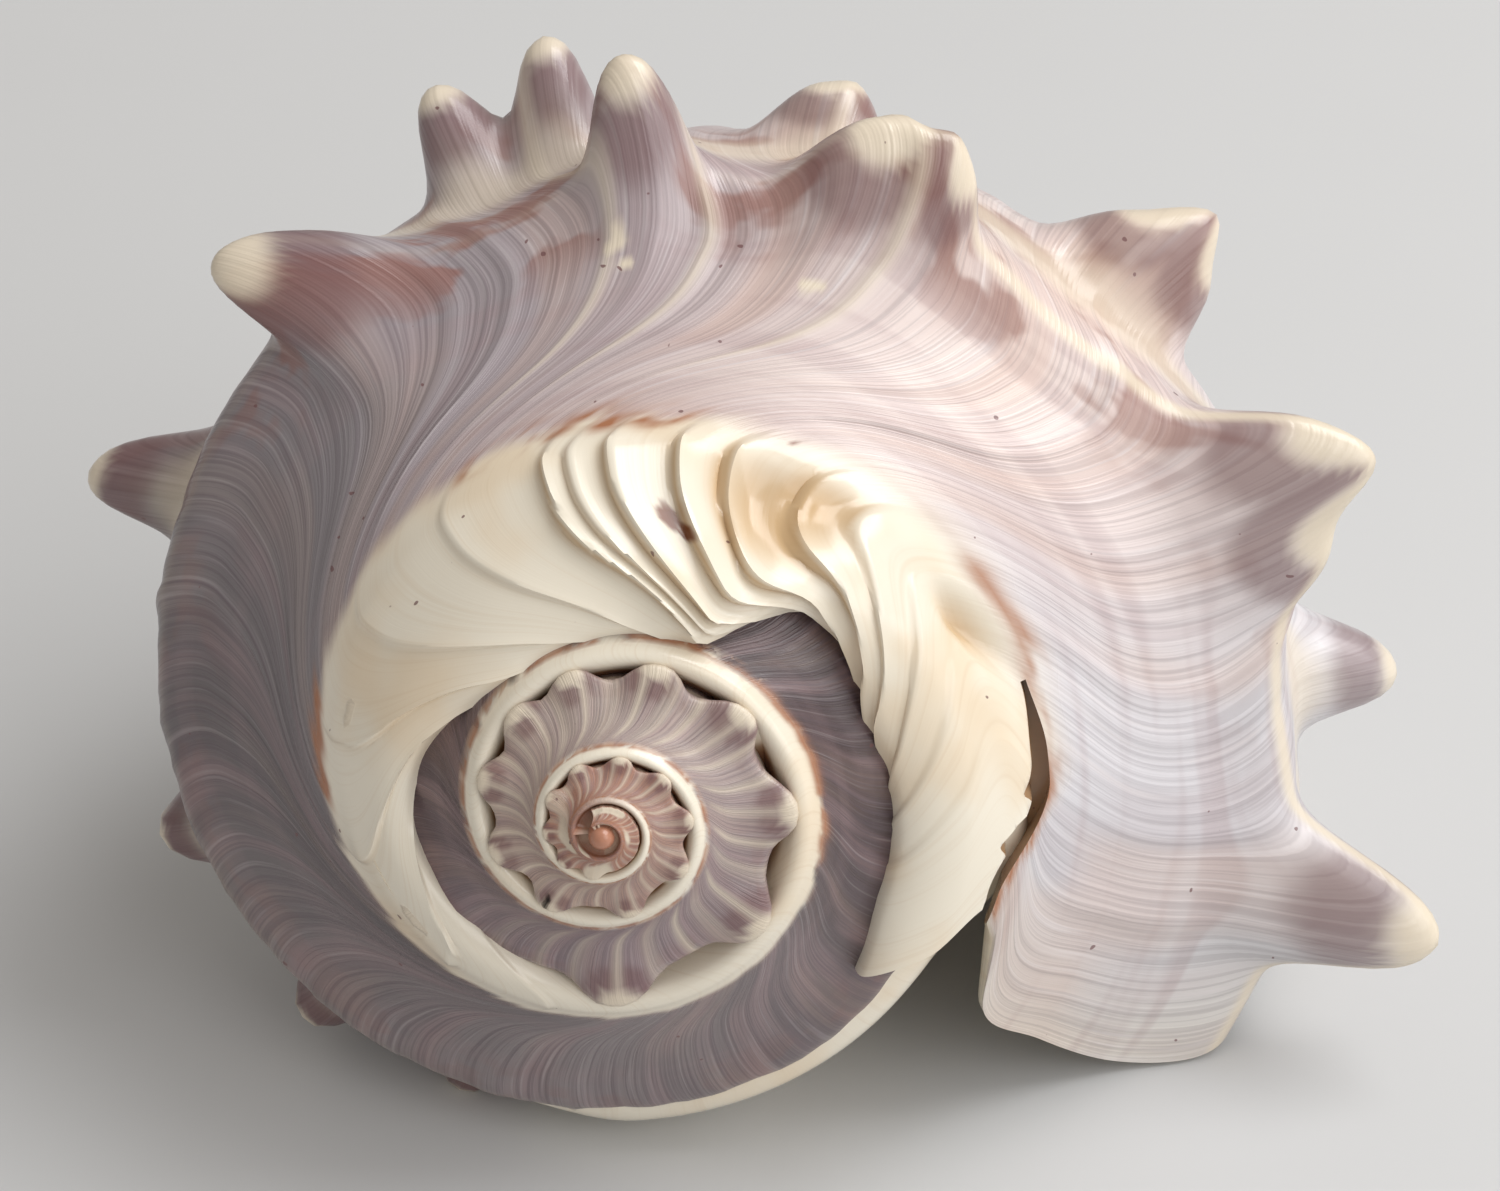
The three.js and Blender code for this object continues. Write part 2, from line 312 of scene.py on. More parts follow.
# Lamps: places, and widths and heights, in metres, and the point that they face
WINDOW_PLACE = (0.42, 0.08, 0.68)
WINDOW_SIZE = (0.55, 0.5)
BRIGHT_WALL_PLACE = (0.62, -0.48, 0.48)
BRIGHT_WALL_SIZE = (0.9, 0.7)
LIT_POINT = (0, 0, 0.03)
ROOM_TINT = (1.0, 0.95, 0.89, 1)
TABLE_HALF_WIDTH = 4.0


def linear(code):
    """An sRGB hex colour as linear red, green and blue."""
    channels = [int(code[i : i + 2], 16) / 255 for i in (1, 3, 5)]
    return tuple(c / 12.92 if c <= 0.04045 else ((c + 0.055) / 1.055) ** 2.4 for c in channels)


class ConchSizes(bpy.types.PropertyGroup):
    """Sizes of the shell."""

    keel_radius: bpy.props.FloatProperty(
        name="Keel radius",
        description="From the axis to the shoulder keel, at turn 0",
        default=KEEL_RADIUS * MM,
        unit="LENGTH",
        precision=4,
    )
    whorl_growth: bpy.props.FloatProperty(
        name="Whorl growth",
        description="The size of a whorl against that of the one before it",
        default=WHORL_GROWTH,
    )
    wall: bpy.props.FloatProperty(
        name="Wall", description="Thickness of the body whorl", default=2.3 * MM, unit="LENGTH", precision=4
    )
    callus: bpy.props.FloatProperty(
        name="Callus", description="Thickness at the callus", default=3.4 * MM, unit="LENGTH", precision=4
    )
    lip: bpy.props.FloatProperty(
        name="Lip", description="Thickness behind the outer lip", default=1.5 * MM, unit="LENGTH", precision=4
    )
    glaze: bpy.props.FloatProperty(
        name="Glaze",
        description="Thickness of the inner lip's glaze",
        default=1.7 * MM,
        unit="LENGTH",
        precision=4,
    )
    growth_ridge: bpy.props.FloatProperty(
        name="Growth ridge",
        description="Height of the coarse growth ridges",
        default=0.16 * MM,
        unit="LENGTH",
        precision=5,
    )


class ConchColours(bpy.types.PropertyGroup):
    """Colours of the shell."""

    cream: bpy.props.FloatVectorProperty(
        name="Cream", description="Callus and inside", subtype="COLOR", default=linear("#f1e9d8")
    )
    peach: bpy.props.FloatVectorProperty(
        name="Peach", description="Warm parts of the callus", subtype="COLOR", default=linear("#ead3b2")
    )
    # Tan: growth lines of the callus, and painted shade in its folds and hollows, inside the mouth, in the
    # slit and in the channel at the suture
    tan: bpy.props.FloatVectorProperty(
        name="Tan", description="Folds of the callus", subtype="COLOR", default=linear("#c29a62")
    )
    # Stains, and painted shade in the channel at the suture and in the slit
    stain: bpy.props.FloatVectorProperty(
        name="Stain", description="Rust-brown stains", subtype="COLOR", default=linear("#7a4320")
    )
    rim: bpy.props.FloatVectorProperty(
        name="Rim", description="Crumbled border of the callus", subtype="COLOR", default=linear("#a9714f")
    )
    spine: bpy.props.FloatVectorProperty(
        name="Spine", description="Dark sides of the spines", subtype="COLOR", default=linear("#70494a")
    )
    tip: bpy.props.FloatVectorProperty(
        name="Tip", description="Pale tips, keel and bands", subtype="COLOR", default=linear("#e9dcc6")
    )
    line: bpy.props.FloatVectorProperty(
        name="Growth line", description="Dark growth lines", subtype="COLOR", default=linear("#5f525a")
    )
    pale: bpy.props.FloatVectorProperty(
        name="Pale line", description="Pale growth lines", subtype="COLOR", default=linear("#f2ebec")
    )
    band: bpy.props.FloatVectorProperty(
        name="Band", description="Broad growth bands", subtype="COLOR", default=linear("#a98d90")
    )
    warm: bpy.props.FloatVectorProperty(
        name="Warm band",
        description="Peach bands of the young shell",
        subtype="COLOR",
        default=linear("#e0bda6"),
    )
    rust: bpy.props.FloatVectorProperty(
        name="Blotch",
        description="Red-brown blotches near the keel",
        subtype="COLOR",
        default=linear("#8f5a4c"),
    )


class ConchStage(bpy.types.PropertyGroup):
    """The table and the light."""

    table: bpy.props.FloatVectorProperty(
        name="Table", description="Colour of the table", subtype="COLOR", default=linear("#d0d1d2")
    )
    window_power: bpy.props.FloatProperty(
        name="Window", description="Power of the soft light from behind", default=3.9, unit="POWER"
    )
    wall_power: bpy.props.FloatProperty(
        name="Bright wall", description="Power of the soft light from the right", default=3.4, unit="POWER"
    )
    room_strength: bpy.props.FloatProperty(
        name="Room", description="Strength of the light from all round", default=0.43
    )


def smoothstep(x, low, high):
    """0 below low, 1 above high, and smooth between them."""
    share = np.clip((x - low) / (high - low), 0, 1)
    return share * share * (3 - 2 * share)


def station_curve(values, station):
    """A smooth curve through one value for each station."""
    last = len(values) - 1
    station = np.clip(station, 0, last)
    i = np.minimum(station.astype(int), last - 1)
    u = station - i
    before, start, end, after = (values[np.clip(i + k, 0, last)] for k in (-1, 0, 1, 2))
    rise_start, rise_end = (end - before) / 2, (after - start) / 2
    cubic = 2 * start - 2 * end + rise_start + rise_end
    square = 3 * end - 3 * start - 2 * rise_start - rise_end
    return cubic * u**3 + square * u**2 + rise_start * u + start


def wander(x, spacing, seed):
    """A smooth random line between -1 and 1, with a new value at every spacing."""
    values = np.random.default_rng(seed).uniform(-1, 1, 4096)
    place = x / spacing + 2048
    i = np.floor(place).astype(int)
    share = smoothstep(place - i, 0, 1)
    return values[i % 4096] * (1 - share) + values[(i + 1) % 4096] * share


def wander_over(x, y, spacing_x, spacing_y, seed):
    """A smooth random field between -1 and 1."""
    row = np.floor(y / spacing_y).astype(int)
    share = smoothstep(y / spacing_y - row, 0, 1)
    slide = spacing_x * 37.7
    low = wander(x + row * slide, spacing_x, seed)
    high = wander(x + (row + 1) * slide, spacing_x, seed)
    return low * (1 - share) + high * share


def whorl_size(turn):
    """The keel's radius at a turn, in millimetres."""
    return KEEL_RADIUS * WHORL_GROWTH**turn


def whorl_section(turn, station):
    """The whorl's bare section, without spines: distance from the axis and depth, in keel radii."""
    callus = smoothstep(turn, *CALLUS_BEGINS)
    reach, depth = (
        station_curve(SPIRE_SECTION[:, k], station) * (1 - callus)
        + station_curve(BODY_SECTION[:, k], station) * callus
        for k in (0, 1)
    )
    for rise, fall, stations, inward, upward in CALLUS_LAPS:
        lap = smoothstep(turn, *rise) * (1 - smoothstep(turn, *fall)) * np.clip(1 - station / stations, 0, 1)
        reach = reach - inward * lap
        depth = depth - upward * lap
    for middle, inward, width in KEEL_DIPS:
        away = ((turn - middle) / width) ** 2 + ((station - KEEL_STATION) / 1.5) ** 2
        reach = reach - inward * np.exp(-away)
    return reach, depth


def outward(turn, station):
    """The section's unit direction out of the shell."""
    step = 0.05
    reach_before, depth_before = whorl_section(turn, station - step)
    reach_after, depth_after = whorl_section(turn, station + step)
    across, along = depth_after - depth_before, reach_before - reach_after
    length = np.hypot(across, along)
    return across / length, along / length


def inset_section(turn, station, inset):
    """The bare section set in by so many millimetres, or raised where inset is negative."""
    reach, depth = whorl_section(turn, station)
    out_reach, out_depth = outward(turn, station)
    share = inset / whorl_size(turn)
    return reach - out_reach * share, depth - out_depth * share


def growth_turn(growth, station):
    """The turn at which a growth line crosses a station."""
    at_lip = smoothstep(growth, *LIP_SHAPING)
    swept_back = 1 - STRAIGHTER_SHARE * smoothstep(growth, *STRAIGHTER_LINES)
    line = station_curve(GROWTH_LINE, station) * swept_back
    behind = line * (1 - at_lip) + station_curve(LIP_OUTLINE, station) * at_lip
    return growth - behind


def callus_folds(growth, station):
    """Height of the callus's lamellae in millimetres, and painted shade: in the fold just under each
    lamella's edge and in the hollows.
    """
    waved = growth + 0.004 * wander_over(growth, station, 0.03, 0.8, 3)
    height, shade = np.zeros_like(waved), np.zeros_like(waved)
    for edge, step in LAMELLAE:
        past = waved - edge
        height += step * smoothstep(past, -0.002, 0.002) * np.exp(-np.clip(past, 0, None) / 0.018)
        # Painted shade in the fold just under each edge, where the younger sheet overhangs
        shade += min(step, 1) * np.exp(-np.clip(-past, 0, None) / 0.004) * smoothstep(past, 0.002, -0.001)
    across = smoothstep(station, -0.5, 1.0) * (1 - smoothstep(station, 3.2, 4.1))
    for middle, row, width, reach, depth in HOLLOWS:
        pit = np.exp(-(((growth - middle) / width) ** 2) - ((station - row) / reach) ** 2)
        height -= depth * pit
        # Painted shade in the hollow
        shade += 0.8 * pit
    on_callus = smoothstep(growth, -0.75, -0.55)
    return height * across * on_callus, np.clip(shade, 0, 1) * across * on_callus


def growth_ridges(growth, station, height):
    """Height of the growth ridges over the ramp and the flank, in millimetres."""
    ridge = 0.6 * wander(growth, 0.007, 5) + 0.4 * wander(growth, 0.016, 6)
    for rest in GROWTH_RESTS:
        ridge = ridge + 1.6 * np.exp(-(((growth - rest) / 0.0035) ** 2))
    return height * ridge * smoothstep(station, 4.0, 4.8)


def spread_spines(turn, station):
    """What the spines add: height and depth in keel radii, lean in turns, and the share of a spine."""
    height, rise, lean, share = (np.zeros_like(turn) for _ in range(4))
    for middle, tall, width, reach, tip_lean, row, tip_rise in SPINES:
        away = np.sqrt(((turn - middle) / width) ** 2 + ((station - row) / reach) ** 2)
        horn = np.exp(-((away / HORN_WIDTH) ** HORN_BLUNTNESS))
        spike = HORN_SHARE * horn + (1 - HORN_SHARE) * np.clip(1 - away, 0, 1) ** 2
        height += tall * spike
        rise += tall * tip_rise * spike
        lean += tip_lean * spike
        share = np.maximum(share, spike)
    return height, rise, lean, share


def outer_surface(growth, station, ridge_height):
    """The outside of the shell: unrolled places, and what its colours read."""
    turn = growth_turn(growth, station)
    reach, depth = whorl_section(turn, station)
    out_reach, out_depth = outward(turn, station)
    lamella, fold = callus_folds(growth, station)
    raised = (lamella + growth_ridges(growth, station, ridge_height)) / whorl_size(turn)
    height, rise, lean, spine = spread_spines(turn, station)
    raised_reach = reach + height + raised * out_reach
    raised_depth = depth + rise + raised * out_depth
    place = np.stack([turn + lean, raised_reach, raised_depth], -1)

    stain = np.zeros_like(turn)
    for middle, row, width, across in STAINS:
        away = ((growth - middle) / width) ** 2 + ((station - row) / across) ** 2
        stain = np.maximum(stain, smoothstep(away, 1.3, 0.6))
    edge = RIM_STATION + 0.10 * wander(growth, 0.012, 8) - 0.9 * smoothstep(turn, *SLIT_DRIFTS)
    soft = 0.12 + 0.30 * smoothstep(growth, -0.12, -0.03) * (1 - smoothstep(growth, 0.03, 0.08))
    crumbled = 0.12 + 0.8 * smoothstep(growth, -0.86, -0.94)
    for start, end, strength in CRUMBLED_RIM:
        begins = smoothstep(growth, start - 0.01, start)
        crumbled = crumbled + strength * begins * smoothstep(growth, end + 0.01, end)
    # Painted shade in the deep channel at the suture of the older whorls
    painted_channel_shade = smoothstep(station, 1.5, 0.6) * smoothstep(growth, -0.85, -1.0)
    wear = wander_over(growth, station, 0.11, 1.6, 21)
    worn_apex = smoothstep(growth, -3.2, -3.6) * smoothstep(wear, 0.0, 0.5)
    ribs = (0.5 + 0.5 * np.cos(2 * math.pi * growth / CROWN_RIB_SPACING)) ** 3 * smoothstep(station, 4.0, 4.8)
    ribs = 0.6 * ribs * smoothstep(growth, -1.5, -1.8) * smoothstep(station, 8.5, 7.0)
    tip = np.maximum(np.maximum(smoothstep(spine, 0.72, 0.95), worn_apex), ribs)
    for rest in PALE_RESTS:
        pale = 0.55 * np.exp(-(((growth - rest) / 0.003) ** 2))
        tip = np.maximum(tip, pale * smoothstep(station, 4.2, 5.0))
    for middle, row, width, across in CHIPS:
        away = ((growth - middle) / width) ** 2 + ((station - row) / across) ** 2
        tip = np.maximum(tip, smoothstep(away, 1.4, 0.5))
    keel_rust = smoothstep(growth, 0.06, -0.12) * (0.2 + 0.8 * smoothstep(growth, -0.42, -0.33))
    crest = np.exp(-(((station - KEEL_STATION) / 0.15) ** 2))
    spiral_bands = sum(np.exp(-(((station - row) / 0.35) ** 2)) for row in PALE_BANDS)
    maps = colour_maps(
        growth,
        station,
        cream=(1 - smoothstep(station, edge - soft, edge + soft)) * smoothstep(growth, -3.4, -2.9),
        border=crumbled * np.exp(-(((station - edge) / 0.15) ** 2)),
        # The stain colour and the tan of the folds also paint shade into the channel
        stain=np.maximum(stain, 0.75 * painted_channel_shade),
        fold=np.maximum(fold, painted_channel_shade),
        side=smoothstep(spine, 0.18, 0.55) * (1 - tip),
        tip=tip,
        keel=crest * (0.2 + 0.8 * smoothstep(growth, -0.22, -0.10)),
        flank=np.clip(spiral_bands, 0, 1),
        rust=smoothstep(station, 5.6, 6.6) * smoothstep(station, 9.5, 8.4) * keel_rust,
        fresh=0.30 + 0.70 * smoothstep(growth, -0.42, -0.18),
    )
    return place, maps


def colour_maps(growth, station, **shares):
    """The values that the shell's colours read, as one pair for each of its maps."""
    values = {"growth": growth, "station": station / CANAL_STATION, **shares}
    shape = np.broadcast_shapes(np.shape(growth), np.shape(station))
    return [
        np.stack([np.broadcast_to(values.get(name, 0.0), shape) for name in names], -1)
        for names in MAP_SHARES
    ]


def smooth_surface(turn, station, inset, fold):
    """A bare cream surface at some depth under the shell's outside, or over it."""
    reach, depth = inset_section(turn, station, inset)
    place = np.stack(np.broadcast_arrays(turn, reach, depth), -1)
    return place, colour_maps(turn, station, cream=1.0, fold=fold)


def swept(name, inside, outside):
    """A closed unrolled solid between two surfaces, given as rings along their first axis."""
    place = np.concatenate([inside[0], outside[0][:, ::-1]], 1)
    maps = [np.concatenate([a, b[:, ::-1]], 1) for a, b in zip(inside[1], outside[1])]
    rings, count = place.shape[:2]
    start = (np.arange(rings - 1) * count)[:, None]
    a = start + np.arange(count)
    b = start + (np.arange(count) + 1) % count
    sides = np.stack([a, b, b + count, a + count], -1).reshape(-1, 4)
    last = (rings - 1) * count
    inner_station, outer_station = inside[1][0][0, :, 1], outside[1][0][0, :, 1]
    ends, i, j = [], 0, 0
    while i + 1 < len(inner_station) or j + 1 < len(outer_station):
        outer_done = j + 1 == len(outer_station)
        if outer_done or (i + 1 < len(inner_station) and inner_station[i + 1] <= outer_station[j + 1]):
            corners = (i, i + 1, count - 1 - j)
            i += 1
        else:
            corners = (i, count - 2 - j, count - 1 - j)
            j += 1
        ends += [corners[::-1], tuple(last + k for k in corners)]
    mesh = bpy.data.meshes.new(name)
    mesh.from_pydata(place.reshape(-1, 3).tolist(), [], sides.tolist() + ends)
    corner = np.empty(len(mesh.loops), int)
    mesh.loops.foreach_get("vertex_index", corner)
    for map_name, values in zip(MAP_NAMES, maps):
        layer = mesh.uv_layers.new(name=map_name)
        layer.uv.foreach_set("vector", values.reshape(-1, 2)[corner].astype(np.float32).ravel())
    piece = bpy.data.objects.new(name, mesh)
    bpy.context.scene.collection.objects.link(piece)
    return piece


def add_node(tree, kind, settings=None, inputs=None):
    """Adds a node with its settings, and its inputs' values or links, and gives its outputs."""
    node = tree.nodes.new(kind)
    for name, value in (settings or {}).items():
        setattr(node, name, value)
    for name, value in (inputs or {}).items():
        if isinstance(value, bpy.types.NodeSocket):
            tree.links.new(value, node.inputs[name])
        else:
            node.inputs[name].default_value = value
    return node.outputs


def coil_tree():
    """Geometry Nodes that coil an unrolled piece: its X, Y and Z are turn, reach and depth."""
    tree = bpy.data.node_groups.new("Coil a whorl", "GeometryNodeTree")
    inputs = [
        ("Geometry", "NodeSocketGeometry"),
        ("Keel radius", "NodeSocketFloat"),
        ("Whorl growth", "NodeSocketFloat"),
        ("Lying turn", "NodeSocketVector"),
        ("Apex place", "NodeSocketVector"),
        ("Material", "NodeSocketMaterial"),
    ]
    for name, kind in inputs:
        tree.interface.new_socket(name, in_out="INPUT", socket_type=kind)
    tree.interface.new_socket("Geometry", in_out="OUTPUT", socket_type="NodeSocketGeometry")
    node = partial(add_node, tree)
    given = node("NodeGroupInput")
    turn, reach, depth = node("ShaderNodeSeparateXYZ", None, {0: node("GeometryNodeInputPosition")[0]})
    growth = node("ShaderNodeMath", {"operation": "POWER"}, {0: given["Whorl growth"], 1: turn})[0]
    size = node("ShaderNodeMath", {"operation": "MULTIPLY"}, {0: growth, 1: given["Keel radius"]})[0]
    angle = node("ShaderNodeMath", {"operation": "MULTIPLY"}, {0: turn, 1: -2 * math.pi})[0]
    direction = {
        0: node("ShaderNodeMath", {"operation": "COSINE"}, {0: angle})[0],
        1: node("ShaderNodeMath", {"operation": "SINE"}, {0: angle})[0],
    }
    radial = {0: node("ShaderNodeCombineXYZ", None, direction)[0], "Scale": reach}
    across = node("ShaderNodeVectorMath", {"operation": "SCALE"}, radial)[0]
    down = node("ShaderNodeVectorMath", {"operation": "SCALE"}, {0: (0, 0, -1), "Scale": depth})[0]
    section = node("ShaderNodeVectorMath", {"operation": "ADD"}, {0: across, 1: down})[0]
    place = node("ShaderNodeVectorMath", {"operation": "SCALE"}, {0: section, "Scale": size})[0]
    grown = node("GeometryNodeSetPosition", None, {"Geometry": given["Geometry"], "Position": place})[0]
    laid = {"Geometry": grown, "Translation": given["Apex place"], "Rotation": given["Lying turn"]}
    lying = node("GeometryNodeTransform", None, laid)[0]
    real = node("GeometryNodeRealizeInstances", None, {"Geometry": lying})[0]
    finished = node("GeometryNodeSetMaterial", None, {"Geometry": real, "Material": given["Material"]})[0]
    node("NodeGroupOutput", None, {0: finished})
    return tree


def evaluated_mesh(piece):
    """The piece's mesh with its modifiers made real."""
    return bpy.data.meshes.new_from_object(piece.evaluated_get(bpy.context.evaluated_depsgraph_get()))


def coil(pieces, tree, values):
    """Coils unrolled pieces with the tree and makes the result their own mesh."""
    sockets = {item.name: item.identifier for item in tree.interface.items_tree if item.in_out == "INPUT"}
    for piece in pieces:
        modifier = piece.modifiers.new("Coil", "NODES")
        modifier.node_group = tree
        for name, value in values.items():
            modifier[sockets[name]] = value
    for piece in pieces:
        mesh = evaluated_mesh(piece)
        piece.modifiers.clear()
        piece.data = mesh


def grow_together(whole, steps):
    """Joins pieces to the whole, or cuts them from it, in the order of the steps."""
    for operation, piece in steps:
        modifier = whole.modifiers.new(operation, "BOOLEAN")
        modifier.operation = operation
        modifier.solver = "MANIFOLD"
        modifier.object = piece
    mesh = evaluated_mesh(whole)
    whole.modifiers.clear()
    whole.data = mesh
    for _, piece in steps:
        bpy.data.objects.remove(piece)


def drop_crumbs(mesh):
    """Keeps the largest connected piece of a mesh."""
    work = bmesh.new()
    work.from_mesh(mesh)
    bmesh.ops.remove_doubles(work, verts=work.verts, dist=1e-7)
    unseen, islands = set(work.verts), []
    while unseen:
        island, edge_of_it = set(), [unseen.pop()]
        while edge_of_it:
            vertex = edge_of_it.pop()
            island.add(vertex)
            near = {edge.other_vert(vertex) for edge in vertex.link_edges} & unseen
            unseen -= near
            edge_of_it.extend(near)
        islands.append(island)
    largest = max(islands, key=len)
    crumbs = [vertex for island in islands if island is not largest for vertex in island]
    bmesh.ops.delete(work, geom=crumbs, context="VERTS")
    work.to_mesh(mesh)
    work.free()


def spire_whorls(sizes):
    """The older whorls, filled to the axis, in lengths under a whole turn."""
    station = np.concatenate([np.linspace(0, 4, 18), np.linspace(4.3, 10, 24), np.linspace(11, 15, 5)])
    axis_station = np.array([0.0, CANAL_STATION])
    axis_reach = np.array([0.03, 0.03])
    axis_depth = np.array([0.5, 2.2])
    length, step = 0.8, 0.01
    pieces = []
    end = CORE_END_TURN
    while end > FIRST_TURN:
        start = max(FIRST_TURN, end - length)
        growth = np.linspace(start, end, round((end - start) / step) + 2)[:, None]
        outside = outer_surface(growth, station[None], 0.3 * sizes.growth_ridge / MM)
        place = np.stack(np.broadcast_arrays(growth, axis_reach, axis_depth), -1)
        inside = place, colour_maps(growth, axis_station[None], cream=1.0)
        pieces.append(swept("spire", inside, outside))
        end -= length
    return pieces


def body_wall(sizes):
    """The open body whorl, thick at the callus and thin at the lip, in two lengths."""
    across = np.concatenate(
        [np.linspace(0, 4, 44), np.linspace(4.1, 6.4, 26)]
        + [np.linspace(6.5, 10, 46), np.linspace(10.2, 15, 26)]
    )[None]
    inner = np.concatenate([np.linspace(0, 4, 8), np.linspace(4.6, 10, 14), np.linspace(10.8, 15, 8)])[None]
    shared = np.linspace(WALL_SPLIT_TURN, WALL_SPLIT_TURN + 0.006, 4)
    older = np.linspace(WALL_START_TURN, WALL_SPLIT_TURN, 130)[:-1]
    younger = np.linspace(shared[-1], LIP_ROWS[0], 250)[1:]
    growth_rows = [
        np.concatenate([older, shared]),
        np.concatenate([shared, younger, LIP_ROWS[1:], [LIP_TURN]]),
    ]
    pieces = []
    for row in growth_rows:
        growth = row[:, None]
        wall = sizes.callus + (sizes.wall - sizes.callus) * smoothstep(inner, 2, 5)
        at_lip = smoothstep(growth, LIP_TURN - 0.08, LIP_TURN - 0.01)
        edge = np.clip((growth - LIP_ROUNDS) / (LIP_TURN - LIP_ROUNDS), 0, 1)
        rounding = np.sqrt(np.clip(1.04 - edge**2, 0, 1))
        thickness = (wall * (1 - at_lip) + sizes.lip * at_lip) * rounding / MM
        outside = outer_surface(growth, across, sizes.growth_ridge / MM)
        turn = growth_turn(growth, inner)
        # The inside of the mouth carries a little painted shade, in the tan of the folds
        inside = smooth_surface(turn, inner, thickness, 0.1)
        pieces.append(swept("wall", inside, outside))
    return pieces


def parietal_glaze(sizes):
    """The glaze of the inner lip, laid over the older whorl in the mouth."""
    turn = np.linspace(*GLAZE_TURNS, 90)[:, None]
    station = np.linspace(*GLAZE_STATIONS, 60)[None]
    middle, spread, corner_height = MOUTH_CORNER
    along = smoothstep(turn, -1.05, -0.98) * (1 - smoothstep(turn, -0.75, -0.69))
    corner = corner_height * np.exp(-(((turn - middle) / spread) ** 2)) * smoothstep(station, 7.3, 8.8)
    height = (sizes.glaze / MM * along + corner) * smoothstep(station, 6.8, 7.8) - GLAZE_EDGE
    bed = smooth_surface(turn, station, GLAZE_BED, 0.0)
    return swept("glaze", bed, smooth_surface(turn, station, -height, 0.0))


def unrolled(points):
    """The turn, reach and depth of points in the shell's own frame, in millimetres."""
    turn = -np.arctan2(points[..., 1], points[..., 0]) / (2 * math.pi)
    size = whorl_size(turn)
    return np.stack([turn, np.hypot(points[..., 0], points[..., 1]) / size, -points[..., 2] / size], -1)


def columella():
    """The pillar of the shell, from the tip of the canal to the nucleus at the apex."""
    depth, radius = np.array(COLUMELLA).T
    fine = np.linspace(0, len(depth) - 1, 90)
    depth, radius = station_curve(depth, fine)[:, None], station_curve(radius, fine)[:, None]
    lean = smoothstep(depth, *COLUMELLA_LEANS)
    angle = np.linspace(0, 2 * math.pi, 49)[None, :-1]
    x = COLUMELLA_LEAN[0] * lean + radius * np.cos(angle)
    y = COLUMELLA_LEAN[1] * lean + radius * np.sin(angle)
    points = np.stack(np.broadcast_arrays(x, y, -depth), -1)
    apex = 1 - smoothstep(depth, 2, 5)
    maps = colour_maps(FIRST_TURN + 0 * x, CANAL_STATION * 0.4, cream=1 - apex)
    half = angle.size // 2
    place = unrolled(points)
    inside = place[:, :half], [m[:, :half] for m in maps]
    outside = place[:, half:][:, ::-1], [m[:, half:][:, ::-1] for m in maps]
    return swept("columella", inside, outside)


def suture_slit():
    """The slit behind the lip, with a chipped edge on the callus's side."""
    turn = np.linspace(*SLIT_TURNS, 120)[:, None]
    reach, depth = whorl_section(turn, np.full_like(turn, SLIT_STATION))
    reach = reach - SLIT_DRIFT * smoothstep(turn, *SLIT_DRIFTS)
    width = 0.004 + 0.008 * smoothstep(turn, *SLIT_OPENS) - 0.006 * smoothstep(turn, *SLIT_CLOSES)
    chipped = CHIPPED_EDGE * np.clip(wander(turn, 0.007, 11), 0, 1) * smoothstep(turn, 0.0, 0.02)
    inner, outer = reach - width - chipped, reach + width
    above, below = depth - 0.1, depth + SLIT_DEPTH + 0.08 * smoothstep(turn, *SLIT_CUTS_THROUGH)
    # The slit's walls are painted with the stain colour and the tan of the folds: painted shade in the narrow
    # slit
    maps = colour_maps(turn + np.zeros((1, 2)), SLIT_STATION, cream=1.0, stain=0.45, fold=1.0)
    inside = np.stack(np.broadcast_arrays(turn, inner, np.concatenate([above, below], 1)), -1)
    outside = np.stack(np.broadcast_arrays(turn, outer, np.concatenate([above, below], 1)), -1)
    return swept("slit", (inside, maps), (outside, maps))


def under_table():
    """A block with its top at the table, to wear the shell flat where it rests."""
    mesh = bpy.data.meshes.new("under table")
    work = bmesh.new()
    bmesh.ops.create_cube(work, size=0.4, matrix=Matrix.Translation((0, 0, -0.2)))
    work.to_mesh(mesh)
    work.free()
    for name in MAP_NAMES:
        mesh.uv_layers.new(name=name)
    block = bpy.data.objects.new("under table", mesh)
    bpy.context.scene.collection.objects.link(block)
    return block


